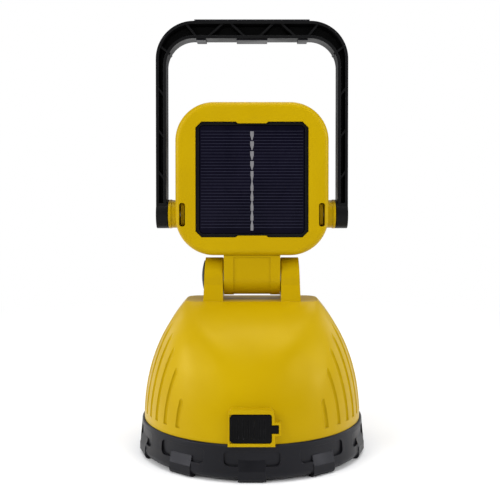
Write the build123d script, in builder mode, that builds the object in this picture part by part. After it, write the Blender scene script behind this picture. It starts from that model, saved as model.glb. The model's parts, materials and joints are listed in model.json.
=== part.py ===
from build123d import *

import os
from math import atan2, cos, degrees, hypot, radians, sin, sqrt

# Solar lantern: a domed spotlight base, a folding floodlight head with a solar panel on its rear,
# and a swing handle. Millimetres, +Z up, rear (solar panel) towards -Y, origin at the bottom centre.

# ---- Driving dimensions -----------------------------------------------------------------------

# Base dome
DOME_RADIUS = 76.9        # half-width and half-depth where the dome leaves the bumper
DOME_START = 26.2         # height at which the dome's sides are vertical
DOME_TOP = 105.9          # height of the flat platform under the head
SIDE_ARC = 121.0          # radius of the dome's outline seen from the rear
FACE_ARC = 83.0           # radius of the dome's outline seen from the side
DOME_SECTIONS = 9
WALL = 2.6
FACE_WALL = 1.15 * WALL   # the wall is measured level, so it grows where the dome slopes
CORNER_WALL = 1.2 * WALL
PLATFORM_WALL = 3.0
PLATFORM_EDGE = 2.0

# Bumper ring
RING_TOP = 23.6
RING_TOP_RADIUS = 78.5
RING_MIDDLE_RADIUS = 79.2
RING_RADIUS = 80.0
RING_BORE = 74.1
RING_LIP = 72.8
RING_FLOOR = 1.4          # underside between the lugs
LUG_COUNT = 10
LUG_WIDTH = 17.6
LUG_FOOT_INNER = 74.5
LUG_FACET_LOW = 7.4
LUG_FACET_HIGH = 14.0
POCKET_WIDTH = 36.0
POCKET_LOW = 10.4
POCKET_HIGH = 19.8
POCKET_RADIUS = 77.9      # distance of the pocket's floor from the axis

# Spotlight stack inside the ring
BEZEL_LOW = 2.8
BEZEL_RADIUS = 74.0
BEZEL_WINDOW = 60.5
LENS_LOW = 6.0
LENS_THICK = 3.0
LENS_RADIUS = 64.2
GASKET_THICK = 1.0
FLANGE_THICK = 1.5
FLANGE_RADIUS = 73.7
SKIRT_LOW = LENS_LOW + LENS_THICK + GASKET_THICK + FLANGE_THICK
SKIRT_RADIUS = 73.9
BOWL_RADIUS = 58.0
BOWL_DEPTH = 54.0
BOWL_TOP = 66.0
BOWL_WALL = 1.8
LED_NECK_RADIUS = 8.0
SPOT_BOARD_RADIUS = 12.0
SPOT_LED_WIDTH = 7.0
SPOT_LED_THICK = 0.8
SPOT_LED_DOME = 2.8
SINK_RADIUS = 16.0
SINK_PLATE = 1.9
SINK_FINS = 7
SINK_FIN_PITCH = 4.2
SINK_FIN_THICK = 1.4
SINK_FIN_LENGTH = 18.0
BASE_SCREW_CIRCLE = 69.5
BASE_SCREW_COUNT = 5
BASE_SCREW_START = 18.0   # degrees, keeps the screw bosses clear of the charging port
BASE_SCREW_LENGTH = 15.0
BASE_BOSS_RADIUS = 3.6
BASE_BOSS_LENGTH = 12.0
BASE_BORE_LENGTH = 9.0
SCREW_SHAFT = 1.45
SCREW_BORE = 1.5
SCREW_CLEAR = 1.8
SCREW_HEAD = 2.8
HEAD_HEIGHT = 1.8         # height of a screw's head
CROSS_LENGTH = 3.2        # cross slot in a screw's head
CROSS_WIDTH = 0.8
CROSS_DEPTH = 0.7

# Side grooves of the dome
GROOVE_PITCH = 8.6
GROOVE_ROWS = 7
GROOVE_RADIUS = 1.9
GROOVE_COURSE = ((0.0, 1.3), (0.43, 1.3), (0.86, 1.2), (1.0, 0.1))    # depth along its length
GROOVE_LOW = 29.4
GROOVE_HIGH = 100.5       # upper end of the groove in the middle of the side
GROOVE_SPREAD = 66.0      # radius of the arc along which the upper ends drop away from the middle
GROOVE_FALL = 1.35        # how much steeper than that arc they drop

# Charging port
PORT_FACE = 79.4          # distance of the port frame's face from the axis
PORT_LEFT = -15.4
PORT_RIGHT = 14.7
PORT_LOW = 23.0
PORT_HIGH = 46.4
COVER_LEFT = -13.5
COVER_RIGHT = 12.6
COVER_LOW = 25.0
COVER_HIGH = 43.6
COVER_THICK = 2.2
COVER_GAP = 0.3
COVER_CORNER = 1.8
COVER_EDGE = 0.5
COVER_RIBS = 6
COVER_RIB_PITCH = 3.4
COVER_RIB_LENGTH = 13.0
COVER_RIB_WIDTH = 1.0
COVER_RIB_DEPTH = 0.3
COVER_X = (COVER_LEFT + COVER_RIGHT) / 2
COVER_Z = (COVER_LOW + COVER_HIGH) / 2
TAB_RIGHT = 17.0
TAB_LOW = 31.2
TAB_HIGH = 36.8
TAB_ROOT = 1.0            # half of the tab's length that lies inside the cover
FRAME_RIM = 1.2           # width of the frame beside the pull tab
PORT_BACK = 70.0          # distance of the port frame's back from the axis
BOARD_LOW = 29.0
BOARD_THICK = 1.6
BOARD_WIDTH = 25.0
BOARD_LENGTH = 15.6
BOARD_Y = -64.9
RAIL_X = 9.0
RAIL_Y = -71.5
RAIL_WIDTH = 2.0
RAIL_LENGTH = 9.0
SOCKET_LOW = BOARD_LOW + BOARD_THICK
SOCKET_GAP = 0.5
USB_A_X = -5.4
USB_A_Z = SOCKET_LOW + 3.5
USB_A_WIDTH = 13.1
USB_A_HEIGHT = 7.0
USB_A_LENGTH = 14.0
USB_A_BACK = -62.4
USB_A_WALL = 0.5
USB_A_TONGUE_WIDTH = 10.8
USB_A_TONGUE_THICK = 1.8
USB_C_X = 7.2
USB_C_Z = SOCKET_LOW + 1.6
USB_C_WIDTH = 8.9
USB_C_HEIGHT = 3.2
USB_C_LENGTH = 7.6
USB_C_BACK = -68.8
USB_C_WALL = 0.3
USB_C_CORNER = 1.2
USB_C_TONGUE_WIDTH = 6.6
USB_C_TONGUE_THICK = 0.7
HINGE_BEAD = 0.6          # radius of the bead along the port cover's hinge edge
HINGE_FIT = 0.08          # radial running clearance round that bead

# Batteries
CELL_RADIUS = 9.2
CELL_HALF_LENGTH = 32.5
CELL_Y = 10.2
CELL_FIT = 0.15
CELL_EDGE = 0.8
CELL_TIP_RADIUS = 3.0
CELL_TIP_RISE = 1.0
CONTACT_WIDTH = 30.0
CONTACT_HEIGHT = 8.0
CONTACT_THICK = 0.5
CELL_Z = 85.9
CRADLE_LOW = 73.1
CRADLE_EAR_TOP = 77.6
CRADLE_LENGTH = 71.2
CRADLE_WIDTH = 40.0
CRADLE_FLOOR = 8.0
CRADLE_END = 2.2
CRADLE_END_HEIGHT = 19.0
CRADLE_EAR_LENGTH = 8.6
CRADLE_EAR_WIDTH = 10.0
CRADLE_SCREW_LENGTH = 14.5
POST_X = 39.5
POST_RADIUS = 3.5

# Tilt hinge
TILT_Z = 122.2
EAR_INNER = 20.5
EAR_TOP_OUTER = 33.2
EAR_FOOT_OUTER = 34.4
EAR_RADIUS = 13.4
EAR_FOOT_HALF = 16.0      # half-length of an ear's foot on the platform
EAR_FLARE = 5.0           # distance below the axis at which an ear starts to widen
EAR_EDGE = 0.8
NECK_HALF = 20.0
NECK_RADIUS = 13.4
NECK_PANEL_HALF = 13.1
NECK_PANEL_DEPTH = 0.5
NECK_PLATE = 1.6
NECK_SCREW_SPAN = 31.0
NECK_SCREW_DEPTH = 13.0
NECK_SCREW_LENGTH = 12.0
NECK_BORE_LENGTH = 11.0
PIN_RADIUS = 4.0
PIN_BORE = 2.3
PIN_FIT = 0.08            # radial running clearance of the tilt hinge
BUTTON_RADIUS = 11.2
BUTTON_POCKET_FLOOR = 24.6
BUTTON_BACK = 29.8
BUTTON_EDGE = 34.2
BUTTON_CROWN = 36.0
EAR_CAP_RADIUS = 7.0
EAR_CAP_INNER = 31.0
EAR_CAP_THICK = 2.4
HINGE_WASHER_RADIUS = 9.0
HINGE_WASHER_THICK = 0.4
WASHER_CLEAR = 0.2
STEM_RADIUS = 1.9         # stem of the release button, inside the hollow hinge pin
STEM_END = 9.0
SPRING_RADIUS = 6.0
SPRING_WIRE = 0.4         # radius of the spring's wire
SPRING_TURNS = 2.5
SPRING_GAP = 0.05

# Head
HEAD_SIZE = 108.0
HEAD_Z = 192.2
HEAD_CORNER = 27.2
HEAD_REAR = -16.5
HEAD_SPLIT = 11.0
HEAD_FRONT = 16.5
HEAD_WALL = 2.5
HEAD_EDGE = 4.0
HEAD_BOTTOM = HEAD_Z - HEAD_SIZE / 2
WINDOW_WIDTH = 79.4
WINDOW_HEIGHT = 81.2
WINDOW_Z = 191.6
WINDOW_CHAMFER = 4.2
WINDOW_TAB_WIDTH = 20.0
WINDOW_TAB_HEIGHT = 1.2
TRAY_GAP = 0.3
TRAY_FACE = -15.2
TRAY_FLANGE = 1.5
TRAY_BACK = -12.6
PANEL_WIDTH = 73.9
PANEL_HEIGHT = 75.9
PANEL_FACE = -15.0
PANEL_BACK = -13.2
HEAD_SCREW_X = 29.0
HEAD_SCREW_RISE = 46.3    # height of the upper screws above the middle of the head
HEAD_BOSS = 3.4
HEAD_BORE_LENGTH = 15.0
HEAD_SCREW_LENGTH = 18.0
SCREW_SINK = 0.2          # depth of a head screw below the bezel's face
GASKET_INSET = 2.6
GASKET_WIDTH = 1.4
HEAD_GASKET_THICK = 1.2
BEZEL_WALL = 3.5
LIGHT_WIDTH = 82.0
LIGHT_HEIGHT = 72.0
LIGHT_Z = 197.0
LIGHT_FLANGE = 1.8
LIGHT_BOARD_FACE = 2.5
LED_COLUMNS = 6
LED_ROWS = 4
SWITCH_Z = 149.5
SWITCH_RADIUS = 6.5
CONTROL_BOARD_FACE = 6.6
CONTROL_BOARD_WIDTH = 50.0
CONTROL_BOARD_HEIGHT = 15.0
CONTROL_BOARD_RISE = 0.7  # height of the board's middle above the switch
CONTROL_POST_SPAN = 44.0
CONTROL_POST_DROP = 4.3
CONTROL_POST_RADIUS = 2.4
SWITCH_BODY_WIDTH = 6.0
SWITCH_BODY_FACE = 10.2
SWITCH_CAP_RADIUS = 1.7
SWITCH_CAP_FACE = 11.2
BUTTON_FACE = 17.4
BUTTON_REST = 12.2
BUTTON_FLANGE = 1.0
BUTTON_FLANGE_FACE = 13.2
BUTTON_CLEAR = 0.3
INDICATOR_X = 16.0
INDICATOR_RADIUS = 1.5
INDICATOR_FLANGE_RADIUS = 2.4
INDICATOR_FLANGE_THICK = 1.2
INDICATOR_BACK = 9.0
LENS_BACK = 12.6
LIGHT_CORNER = 10.0
LIGHT_LENS_SINK = 0.6     # depth of the lens's face below the bezel's face
LIGHT_TRAY_INSET = 1.0
LIGHT_TRAY_TAPER = 16.0
LIGHT_TRAY_WALL = 3.0
LED_PITCH_X = 10.0
LED_PITCH_Z = 12.0
LED_WIDTH = 4.0
LED_THICK = 1.0

# Handle and its pivots
PIVOT_Z = 166.9
BOSS_RADIUS = 10.0
BOSS_RIM_RADIUS = 10.4
BOSS_RIM_START = 57.6
BOSS_OUTER = 59.5
STUB_RADIUS = 5.0
STUB_GROOVE_RADIUS = 3.5
STUB_FIT = 0.08           # radial running clearance of the handle's pivots
STUB_START = 46.4         # inner end of a pivot pin
STUB_END = 66.0
STUB_CHAMFER = 0.6
STUB_GROOVE_HALF = 1.6
STUB_BORE_START = 45.0
PIVOT_WASHER_RADIUS = 9.5
PIVOT_WASHER_THICK = 0.45
PIVOT_WASHER_GAP = 0.05
SLOT_X = 49.1
SLOT_END = 8.0            # how far the clip's channel reaches into the head
SLOT_WALL = 1.4
SLOT_CORNER = 1.8
SLOT_WIDTH = 4.2
SLOT_HEIGHT = 16.6
CLIP_HALF_THICK = 1.25
CLIP_CLEAR = 0.35
CLIP_LENGTH = 17.0
CLIP_HEIGHT = 15.8
CLIP_Y = -3.0             # middle of the clip, which is open towards +Y
LEG_INNER = 60.9
LEG_OUTER = 68.2
HUB_INNER = 60.05         # inner face of the eye at the foot of a leg
EYE_RADIUS = 10.3
HANDLE_HALF_DEPTH = 8.5
BAR_TOP = 304.0
BAR_LOW = 291.6
BAR_CORNER = 26.9
BAR_INNER_CORNER = 19.5
CHANNEL_FLOOR = 6.0
OUTER_FLANGE = 2.0
INNER_FLANGE = 2.1
CHANNEL_END = 8.0         # gap between the pivot's axis and the end of the channel
RIB_THICK = 1.4
RIB_ROOT = 1.2            # how far a rib runs into the channel's walls
BAR_RIBS = ((14.5, 5.9), (21.2, 30.3), (46.8, 40.1))    # upper and lower X of each rib across the bar
CORNER_RIB_OUTER = (64.6, 285.6)
CORNER_RIB_INNER = (59.0, 281.4)
LEG_RIBS = (255.9, 226.3, 196.8)
LEG_RIB_DROP = 4.0
RIB_FRONT = -7.4
GRIP_TOP = 305.2
GRIP_HALF = 40.9
GRIP_LOW = 290.4
GRIP_FRONT = 9.8
GRIP_REAR = -7.2
GRIP_EDGE = 1.0
GRIP_TABS = ((-36.2, 6.8), (0.0, 22.0), (36.2, 6.8))    # middle and length of each tab

os.makedirs("parts", exist_ok=True)


# ---- Shared geometry --------------------------------------------------------------------------

def plane_at_y(y):
    """Vertical plane across the lantern: local x along +X, local y along +Z, facing -Y."""
    return Plane.XZ.offset(-y)


def plane_at_x(x):
    """Vertical plane along the lantern: local x along +Y, local y along +Z, facing +X."""
    return Plane.YZ.offset(x)


def ring_plane(number):
    """Upright plane through the axis that faces outwards at one of the bumper's lugs."""
    turn = radians(360.0 / LUG_COUNT * number)
    return Plane(origin=(0, 0, 0), x_dir=(cos(turn), sin(turn), 0), z_dir=(sin(turn), -cos(turn), 0))


def lug_side(number):
    """Upright plane on the flank of a lug: local x outwards, local y along +Z, facing across the lug."""
    front = ring_plane(number)
    return Plane(origin=front.x_dir * (LUG_WIDTH / 2), x_dir=front.z_dir, z_dir=-front.x_dir)


def half_width(z):
    """Half-width of the dome at height z."""
    return DOME_RADIUS - SIDE_ARC + sqrt(SIDE_ARC**2 - (z - DOME_START) ** 2)


def half_depth(z):
    """Half-depth of the dome at height z."""
    return DOME_RADIUS - FACE_ARC + sqrt(FACE_ARC**2 - (z - DOME_START) ** 2)


def corner_radius(z):
    """Corner radius of the dome's section: a full circle low down, a crisp oblong at the top."""
    share = (z - DOME_START) / (DOME_TOP - DOME_START)
    return half_depth(z) * (0.992 - 0.5 * share**3)


def side_surface(z, y):
    """Distance of the dome's side from the middle plane, at height z and offset y."""
    corner = corner_radius(z)
    past_flat = max(0.0, abs(y) - (half_depth(z) - corner))
    return half_width(z) - corner + sqrt(corner**2 - past_flat**2)


def side_stretch(z, y):
    """Distance along X that matches one millimetre square to the dome's side."""
    step = 0.1
    rise = (side_surface(z + step, y) - side_surface(z - step, y)) / (2 * step)
    run = (side_surface(z, y + step) - side_surface(z, y - step)) / (2 * step)
    return sqrt(1 + rise**2 + run**2)


def dome_heights(top):
    """Heights of the dome's sections from its start up to the given top, closer near the top."""
    steps = [number / (DOME_SECTIONS - 1) for number in range(DOME_SECTIONS)]
    return [DOME_START + (top - DOME_START) * step * (1.35 - 0.35 * step) for step in steps]


def bowl_radius(z, wall):
    """Radius of the reflector's bowl at height z, on its inside or one wall thickness outside."""
    return (BOWL_RADIUS + wall) * sqrt(1 - (z - SKIRT_LOW) / (BOWL_DEPTH + wall))


# ---- Base: shell ------------------------------------------------------------------------------

# Round-bottomed cutters that follow the dome's sides and run out to a point at their upper ends.
with BuildPart() as side_grooves:
    for side in (-1, 1):
        for row in range(-GROOVE_ROWS, GROOVE_ROWS + 1):
            groove_y = row * GROOVE_PITCH
            groove_drop = GROOVE_SPREAD - sqrt(GROOVE_SPREAD**2 - groove_y**2)
            groove_top = GROOVE_HIGH - GROOVE_FALL * groove_drop
            groove_points = []
            for share, depth in GROOVE_COURSE:
                height = GROOVE_LOW + (groove_top - GROOVE_LOW) * share
                clear = (GROOVE_RADIUS - depth) * side_stretch(height, groove_y)
                groove_points.append((side * (side_surface(height, groove_y) + clear), height))
            with BuildLine(plane_at_y(groove_y)) as groove_path:
                run = ThreePointArc(*groove_points[:3])
                TangentArc(run @ 1, groove_points[3], tangent=run % 1)
            with BuildSketch(Plane(origin=run @ 0, z_dir=run % 0)):
                Circle(GROOVE_RADIUS)
            sweep(path=groove_path.wires()[0])

# The two ears of the tilt hinge, with a slight draft on their outer faces.
with BuildPart() as hinge_ears:
    with BuildSketch(plane_at_x(-EAR_FOOT_OUTER)):
        with BuildLine():
            Polyline(
                (-EAR_RADIUS, TILT_Z), (-EAR_RADIUS, TILT_Z - EAR_FLARE), (-EAR_FOOT_HALF, DOME_TOP - 1.0),
                (EAR_FOOT_HALF, DOME_TOP - 1.0), (EAR_RADIUS, TILT_Z - EAR_FLARE), (EAR_RADIUS, TILT_Z),
            )
            ThreePointArc((EAR_RADIUS, TILT_Z), (0, TILT_Z + EAR_RADIUS), (-EAR_RADIUS, TILT_Z))
        make_face()
    extrude(amount=2 * EAR_FOOT_OUTER)
    with BuildSketch(plane_at_y(20.0)):
        for side in (-1, 1):
            with BuildLine():
                Polyline(
                    (side * EAR_INNER, DOME_TOP - 2.0), (side * EAR_FOOT_OUTER, DOME_TOP - 2.0),
                    (side * EAR_TOP_OUTER, TILT_Z + EAR_RADIUS + 1.0),
                    (side * EAR_INNER, TILT_Z + EAR_RADIUS + 1.0), close=True,
                )
            make_face()
    extrude(amount=40.0, mode=Mode.INTERSECT)
    fillet(hinge_ears.edges().filter_by(GeomType.CIRCLE), EAR_EDGE)

with BuildPart() as base_shell:
    # Outer dome on a short vertical band.
    for height in dome_heights(DOME_TOP):
        with BuildSketch(Plane.XY.offset(height)):
            RectangleRounded(2 * half_width(height), 2 * half_depth(height), corner_radius(height))
    loft()
    with BuildSketch(Plane.XY.offset(RING_TOP)):
        RectangleRounded(2 * DOME_RADIUS, 2 * DOME_RADIUS, corner_radius(DOME_START))
    extrude(amount=DOME_START - RING_TOP)
    fillet(base_shell.faces().sort_by(Axis.Z)[-1].edges(), PLATFORM_EDGE)
    add(side_grooves.part, mode=Mode.SUBTRACT)

    # Flat-faced block that frames the charging port and its pull tab.
    with BuildSketch(plane_at_y(-PORT_BACK)):
        with BuildLine():
            Polyline(
                (PORT_LEFT, PORT_LOW), (PORT_RIGHT, PORT_LOW), (PORT_RIGHT, TAB_LOW - 1.6),
                (TAB_RIGHT + FRAME_RIM, TAB_LOW - FRAME_RIM), (TAB_RIGHT + FRAME_RIM, TAB_HIGH + FRAME_RIM),
                (PORT_RIGHT - 0.3, TAB_HIGH + 1.6), (PORT_RIGHT - 0.8, PORT_HIGH - 2.0),
                (PORT_RIGHT - 2.6, PORT_HIGH), (PORT_LEFT + 2.4, PORT_HIGH),
                (PORT_LEFT + 0.6, PORT_HIGH - 2.0), close=True,
            )
        make_face()
    extrude(amount=PORT_FACE - PORT_BACK)
    add(hinge_ears.part)

    # Skirt inside the bumper.
    with BuildSketch(Plane.XY.offset(SKIRT_LOW)):
        Circle(SKIRT_RADIUS)
    extrude(amount=DOME_START - SKIRT_LOW)

    # Inner space: a second dome one wall thickness inside the first, open at the bottom.
    for height in dome_heights(DOME_TOP - PLATFORM_WALL):
        with BuildSketch(Plane.XY.offset(height)):
            RectangleRounded(
                2 * (half_width(height) - WALL),
                2 * (half_depth(height) - FACE_WALL),
                corner_radius(height) - CORNER_WALL,
            )
    loft(mode=Mode.SUBTRACT)
    with BuildSketch(Plane.XY.offset(SKIRT_LOW)):
        Circle(SKIRT_RADIUS - WALL)
    extrude(amount=DOME_START - SKIRT_LOW, mode=Mode.SUBTRACT)

    # Bosses for the base screws, and two posts that carry the battery cradle.
    with BuildSketch(Plane.XY.offset(SKIRT_LOW)):
        with PolarLocations(BASE_SCREW_CIRCLE, BASE_SCREW_COUNT, start_angle=BASE_SCREW_START):
            Circle(BASE_BOSS_RADIUS)
    extrude(amount=BASE_BOSS_LENGTH)
    with BuildSketch(Plane.XY.offset(SKIRT_LOW)):
        with PolarLocations(BASE_SCREW_CIRCLE, BASE_SCREW_COUNT, start_angle=BASE_SCREW_START):
            Circle(SCREW_BORE)
    extrude(amount=BASE_BORE_LENGTH, mode=Mode.SUBTRACT)
    with BuildSketch(Plane.XY.offset(CRADLE_EAR_TOP)):
        with Locations((-POST_X, 0), (POST_X, 0)):
            Circle(POST_RADIUS)
    extrude(amount=DOME_TOP - PLATFORM_WALL / 2 - CRADLE_EAR_TOP)
    with BuildSketch(Plane.XY.offset(CRADLE_EAR_TOP)):
        with Locations((-POST_X, 0), (POST_X, 0)):
            Circle(SCREW_BORE)
    extrude(amount=CRADLE_SCREW_LENGTH - CRADLE_EAR_TOP + CRADLE_LOW, mode=Mode.SUBTRACT)

    # Two rails under the charge board.
    with BuildSketch(Plane.XY.offset(DOME_START)):
        with Locations((-RAIL_X, RAIL_Y), (RAIL_X, RAIL_Y)):
            Rectangle(RAIL_WIDTH, RAIL_LENGTH)
    extrude(amount=BOARD_LOW - DOME_START)

    # Recess for the port cover and its pull tab, with openings for the two sockets in its floor.
    with BuildSketch(plane_at_y(-PORT_FACE + COVER_THICK + 0.1)):
        with Locations((COVER_X, COVER_Z)):
            RectangleRounded(COVER_RIGHT - COVER_LEFT, COVER_HIGH - COVER_LOW, COVER_CORNER)
        with Locations(((COVER_RIGHT + TAB_RIGHT) / 2 - TAB_ROOT, (TAB_LOW + TAB_HIGH) / 2)):
            Rectangle(TAB_RIGHT - COVER_RIGHT + 2 * TAB_ROOT, TAB_HIGH - TAB_LOW)
    extrude(amount=COVER_THICK + 1.0, mode=Mode.SUBTRACT)
    with BuildSketch(plane_at_y(-PORT_BACK)):
        with Locations((USB_A_X, USB_A_Z)):
            Rectangle(USB_A_WIDTH + 2 * SOCKET_GAP, USB_A_HEIGHT + 2 * SOCKET_GAP)
        with Locations((USB_C_X, USB_C_Z)):
            RectangleRounded(
                USB_C_WIDTH + 2 * SOCKET_GAP, USB_C_HEIGHT + 2 * SOCKET_GAP, USB_C_CORNER + SOCKET_GAP
            )
    extrude(amount=PORT_FACE - PORT_BACK, mode=Mode.SUBTRACT)

    # Groove for the bead of the cover's hinge edge.
    with BuildSketch(Plane.XY.offset(COVER_LOW)):
        with Locations((COVER_LEFT, -PORT_FACE)):
            Circle(HINGE_BEAD + HINGE_FIT)
    extrude(amount=COVER_HIGH - COVER_LOW, mode=Mode.SUBTRACT)

    # Bore of the hinge pin, pocket of the release button and seat of the ear cap.
    with BuildSketch(plane_at_x(-EAR_FOOT_OUTER)):
        with Locations((0, TILT_Z)):
            Circle(PIN_RADIUS)
    extrude(amount=2 * EAR_FOOT_OUTER, mode=Mode.SUBTRACT)
    with BuildSketch(plane_at_x(-EAR_FOOT_OUTER - 1.0)):
        with Locations((0, TILT_Z)):
            Circle(BUTTON_RADIUS + 0.3)
    extrude(amount=EAR_FOOT_OUTER + 1.0 - BUTTON_POCKET_FLOOR, mode=Mode.SUBTRACT)
    with BuildSketch(plane_at_x(EAR_CAP_INNER)):
        with Locations((0, TILT_Z)):
            Circle(EAR_CAP_RADIUS)
    extrude(amount=5.0, mode=Mode.SUBTRACT)
base_shell.part.label = "base_shell"
export_step(base_shell.part, "parts/base_shell.step")

# ---- Base: bumper, lens and reflector ---------------------------------------------------------

# Wide shallow pockets round the bumper's side, one at each lug, with the bumper's core left whole.
# Inside each pocket a sloping cut clears the upper face of the lug.
with BuildPart() as bumper_pockets:
    for number in range(LUG_COUNT):
        with BuildSketch(ring_plane(number).offset(POCKET_RADIUS - 4.0)):
            with Locations((0, (POCKET_LOW + POCKET_HIGH) / 2)):
                RectangleRounded(POCKET_WIDTH, POCKET_HIGH - POCKET_LOW, 3.0)
        extrude(amount=10.0)
        with BuildSketch(lug_side(number)):
            with BuildLine():
                Polyline(
                    (POCKET_RADIUS, LUG_FACET_HIGH), (RING_RADIUS, LUG_FACET_LOW),
                    (RING_RADIUS + 4.0, LUG_FACET_LOW), (RING_RADIUS + 4.0, LUG_FACET_HIGH), close=True,
                )
            make_face()
        extrude(amount=LUG_WIDTH)
    with BuildSketch(Plane.XY):
        Circle(POCKET_RADIUS)
    extrude(amount=RING_TOP, mode=Mode.SUBTRACT)

with BuildPart() as bumper_ring:
    with BuildSketch(Plane.XZ):
        with BuildLine():
            Polyline(
                (RING_BORE, BEZEL_LOW), (RING_BORE, RING_TOP), (RING_TOP_RADIUS - 0.8, RING_TOP),
                (RING_TOP_RADIUS, RING_TOP - 0.8), (RING_MIDDLE_RADIUS, 14.0), (RING_RADIUS, 6.0),
            )
            ThreePointArc((RING_RADIUS, 6.0), (RING_RADIUS - 0.9, 3.2), (RING_RADIUS - 3.4, RING_FLOOR))
            Polyline((RING_RADIUS - 3.4, RING_FLOOR), (RING_LIP, RING_FLOOR), (RING_LIP, BEZEL_LOW),
                     (RING_BORE, BEZEL_LOW))
        make_face()
    revolve(axis=Axis.Z)
    add(bumper_pockets.part, mode=Mode.SUBTRACT)
    for number in range(LUG_COUNT):
        with BuildSketch(lug_side(number)):
            with BuildLine():
                Polyline(
                    (LUG_FOOT_INNER, 0), (LUG_FOOT_INNER, LUG_FACET_HIGH - 1.0),
                    (POCKET_RADIUS, LUG_FACET_HIGH), (RING_RADIUS, LUG_FACET_LOW),
                    (RING_RADIUS, 2.4), (RING_RADIUS - 0.9, 0.8), (RING_RADIUS - 2.6, 0), close=True,
                )
            make_face()
        extrude(amount=LUG_WIDTH)
    with BuildSketch(Plane.XY.offset(PORT_LOW)):
        with Locations(((PORT_LEFT + PORT_RIGHT) / 2, -PORT_FACE)):
            Rectangle(PORT_RIGHT - PORT_LEFT + 0.4, 14.0)
    extrude(amount=5.0, mode=Mode.SUBTRACT)
bumper_ring.part.label = "bumper_ring"
export_step(bumper_ring.part, "parts/bumper_ring.step")

with BuildPart() as bezel_ring:
    with BuildSketch(Plane.XY.offset(BEZEL_LOW)):
        Circle(BEZEL_RADIUS)
        Circle(BEZEL_WINDOW, mode=Mode.SUBTRACT)
    extrude(amount=LENS_LOW - BEZEL_LOW)
    with BuildSketch(Plane.XY.offset(LENS_LOW)):
        Circle(BEZEL_RADIUS)
        Circle(LENS_RADIUS + 0.3, mode=Mode.SUBTRACT)
    extrude(amount=LENS_THICK + GASKET_THICK)
    with BuildSketch(Plane.XY.offset(BEZEL_LOW)):
        with PolarLocations(BASE_SCREW_CIRCLE, BASE_SCREW_COUNT, start_angle=BASE_SCREW_START):
            Circle(SCREW_CLEAR)
    extrude(amount=LENS_LOW + LENS_THICK, mode=Mode.SUBTRACT)
    with BuildSketch(Plane.XY.offset(BEZEL_LOW)):
        with PolarLocations(BASE_SCREW_CIRCLE, BASE_SCREW_COUNT, start_angle=BASE_SCREW_START):
            Circle(SCREW_HEAD + 0.3)
    extrude(amount=HEAD_HEIGHT + 0.4, mode=Mode.SUBTRACT)
    chamfer(bezel_ring.edges().filter_by(GeomType.CIRCLE).group_by(Axis.Z)[0].sort_by(SortBy.RADIUS)[-2:], 0.6)
bezel_ring.part.label = "bezel_ring"
export_step(bezel_ring.part, "parts/bezel_ring.step")

with BuildPart() as spot_lens:
    with BuildSketch(Plane.XY.offset(LENS_LOW)):
        Circle(LENS_RADIUS)
    extrude(amount=LENS_THICK)
    chamfer(spot_lens.edges(), 0.4)
spot_lens.part.label = "spot_lens"
export_step(spot_lens.part, "parts/spot_lens.step")

with BuildPart() as lens_gasket:
    with BuildSketch(Plane.XY.offset(LENS_LOW + LENS_THICK)):
        Circle(LENS_RADIUS)
        Circle(BEZEL_WINDOW - 1.0, mode=Mode.SUBTRACT)
    extrude(amount=GASKET_THICK)
lens_gasket.part.label = "lens_gasket"
export_step(lens_gasket.part, "parts/lens_gasket.step")

with BuildPart() as spot_reflector:
    with BuildSketch(Plane.XZ):
        with BuildLine():
            neck_low = SKIRT_LOW + BOWL_DEPTH * (1 - (LED_NECK_RADIUS / BOWL_RADIUS) ** 2)
            inner_heights = [SKIRT_LOW + (neck_low - SKIRT_LOW) * share for share in (0, 0.35, 0.65, 0.88, 1)]
            outer_heights = [SKIRT_LOW + (BOWL_TOP - SKIRT_LOW) * share for share in (1, 0.88, 0.65, 0.35, 0)]
            inner_points = [(bowl_radius(height, 0), height) for height in inner_heights]
            outer_points = [(bowl_radius(height, BOWL_WALL), height) for height in outer_heights]
            Spline(*inner_points)
            Polyline(inner_points[-1], (LED_NECK_RADIUS, BOWL_TOP), outer_points[0])
            Spline(*outer_points)
            Polyline(
                outer_points[-1], (FLANGE_RADIUS, SKIRT_LOW), (FLANGE_RADIUS, SKIRT_LOW - FLANGE_THICK),
                (BOWL_RADIUS, SKIRT_LOW - FLANGE_THICK), inner_points[0],
            )
        make_face()
    revolve(axis=Axis.Z)
    with BuildSketch(Plane.XY.offset(SKIRT_LOW - FLANGE_THICK)):
        with PolarLocations(BASE_SCREW_CIRCLE, BASE_SCREW_COUNT, start_angle=BASE_SCREW_START):
            Circle(SCREW_CLEAR)
    extrude(amount=FLANGE_THICK, mode=Mode.SUBTRACT)
spot_reflector.part.label = "spot_reflector"
export_step(spot_reflector.part, "parts/spot_reflector.step")

with BuildPart() as spot_led_board:
    with BuildSketch(Plane.XY.offset(BOWL_TOP)):
        Circle(SPOT_BOARD_RADIUS)
    extrude(amount=BOARD_THICK)
spot_led_board.part.label = "spot_led_board"
export_step(spot_led_board.part, "parts/spot_led_board.step")

with BuildPart() as spot_led:
    with BuildSketch(Plane.XY.offset(BOWL_TOP - SPOT_LED_THICK)):
        Rectangle(SPOT_LED_WIDTH, SPOT_LED_WIDTH)
    extrude(amount=SPOT_LED_THICK)
    with BuildSketch(Plane.XY.offset(BOWL_TOP - SPOT_LED_THICK)):
        Circle(SPOT_LED_DOME)
    extrude(amount=-1.0, taper=25.0)
spot_led.part.label = "spot_led"
export_step(spot_led.part, "parts/spot_led.step")

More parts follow.
